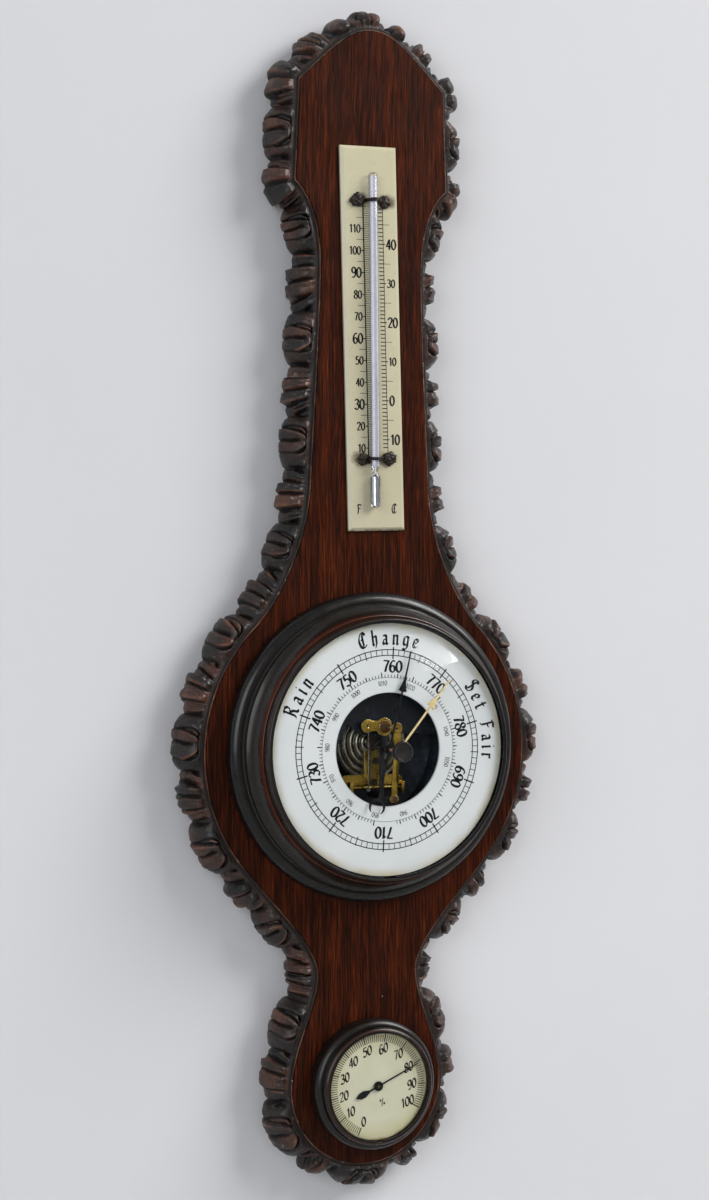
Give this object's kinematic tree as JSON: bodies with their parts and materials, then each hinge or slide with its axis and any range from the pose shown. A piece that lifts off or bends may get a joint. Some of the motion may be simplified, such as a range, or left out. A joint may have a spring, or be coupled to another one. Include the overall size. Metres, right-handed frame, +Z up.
{
  "type": "barometer",
  "caption": "Carved wooden wall barometer with thermometer above and hygrometer below; open-centre dial shows the bellows movement.",
  "frame": {"origin": "centre of the hanging hole, on the plane of the wall", "axes": "+Z up along the barometer, +Y towards the wall, so the dials face -Y"},
  "size_m": [0.1966, 0.0593, 0.5824],
  "materials": {
    "rosewood": "semi-gloss polished rosewood veneer",
    "carved_wood": "dark stained carved wood, worn brown",
    "brass": "lacquered brass",
    "steel": "plain steel",
    "ivory_plate": "smooth ivory plate, aged",
    "tube_glass": "clear with a white back",
    "mercury": "bright silver",
    "blackened_iron": "blackened, tarnished",
    "turned_wood": "black polished turned wood",
    "black_metal": "gloss black lacquer",
    "white_dial": "satin white paint",
    "black_trim": "satin black",
    "glass": "clear polished",
    "bellows_metal": "bright gilt bronze",
    "ivory_dial": "satin cream paint, aged",
    "coil_strip": "thin coated strip"
  },
  "bodies": {
    "barometer_case": {"back_board": "rosewood", "carved_head": "carved_wood", "carved_neck_right": "carved_wood", "carved_neck_left": "carved_wood", "carved_lobe_right": "carved_wood", "carved_lobe_left": "carved_wood", "carved_foot": "carved_wood", "hanger_plate": "brass", "hanger_screws": "steel", "thermometer_plate": "ivory_plate", "thermometer_tube": "tube_glass", "mercury_thread": "mercury", "thermometer_clips": "blackened_iron", "clip_screws": "blackened_iron", "bezel_ring": "turned_wood", "bezel_screws": "steel", "case_drum": "black_metal", "dial_plate": "white_dial", "glass_seat_ring": "black_trim", "domed_glass": "glass", "glass_bush": "brass", "glass_snap_ring": "black_trim", "hairspring": "steel", "bellows": "bellows_metal", "movement_base": "black_metal", "base_screws": "steel", "base_posts": "black_metal", "lower_bridge": "black_metal", "arbor_cock": "black_metal", "left_ear_plate": "brass", "right_strip_plate": "brass", "plate_pillars": "brass", "plate_screws": "brass", "rocker_brackets": "brass", "hygrometer_case": "brass", "hygrometer_bezel": "turned_wood", "hygrometer_dial": "ivory_dial", "hygrometer_glass": "glass", "hygrometer_snap_ring": "black_trim", "moisture_coil": "coil_strip"},
    "hand": {"pressure_hand": "black_trim", "hand_arbor": "steel"},
    "sector": {"sector_lever": "blackened_iron"},
    "link": {"link_wire": "steel"},
    "rocker": {"rocker_arm": "brass", "rocker_screws": "blackened_iron"},
    "stud": {"bellows_stud": "bellows_metal"},
    "set_hand": {"set_knob": "black_trim", "set_hand": "brass"},
    "hygrometer_hand": {"hygrometer_hand": "black_trim", "hygrometer_arbor": "brass"},
    "adjuster": {"adjusting_screw": "brass"}
  },
  "joints": [
    {"name": "bellows_slide", "type": "slide", "parent": "barometer_case", "child": "stud", "axis": [0, -1, 0], "range_m": [-0.00095, 0.00257], "stiffness_N_per_m": 500, "deforming": ["bellows"]},
    {"name": "sector_turn", "type": "hinge", "parent": "barometer_case", "child": "sector", "pos_m": [-0.0085, -0.033, -0.2887], "axis": [0, 1, 0], "range_deg": [-12.14, 32.78]},
    {"name": "pressure_hand_turn", "type": "hinge", "parent": "barometer_case", "child": "hand", "pos_m": [0.0008, -0.042, -0.3], "axis": [0, 1, 0], "range_deg": [-262.1, 97.01], "deforming": ["hairspring"]},
    {"name": "link_swing", "type": "hinge", "parent": "sector", "child": "link", "pos_m": [-0.0069, -0.0345, -0.2887], "axis": [0, 1, 0], "range_deg": [-32.78, 12.14]},
    {"name": "rocker_turn", "type": "hinge", "parent": "barometer_case", "child": "rocker", "pos_m": [0.0008, -0.027, -0.3196], "axis": [1, 0, 0], "range_deg": [-2.51, 6.77]},
    {"name": "set_hand_turn", "type": "hinge", "parent": "barometer_case", "child": "set_hand", "pos_m": [0.0008, -0.056, -0.3], "axis": [0, 1, 0], "continuous": true},
    {"name": "hygrometer_hand_turn", "type": "hinge", "parent": "barometer_case", "child": "hygrometer_hand", "pos_m": [0.0015, -0.03, -0.4655], "axis": [0, 1, 0], "range_deg": [-222, 53], "stiffness_Nm_per_rad": 0.0005, "deforming": ["moisture_coil"]},
    {"name": "adjusting_screw_turn", "type": "hinge", "parent": "barometer_case", "child": "adjuster", "pos_m": [0.0008, -0.004, -0.3], "axis": [0, 1, 0], "range_deg": [-180, 180]}
  ],
  "couplings": [
    {"joint": "sector_turn", "follows": "bellows_slide", "rad_per_m": 222.19},
    {"joint": "pressure_hand_turn", "follows": "bellows_slide", "rad_per_m": -1777.5},
    {"joint": "link_swing", "follows": "bellows_slide", "rad_per_m": -222.19},
    {"joint": "rocker_turn", "follows": "bellows_slide", "rad_per_m": 45.872}
  ]
}
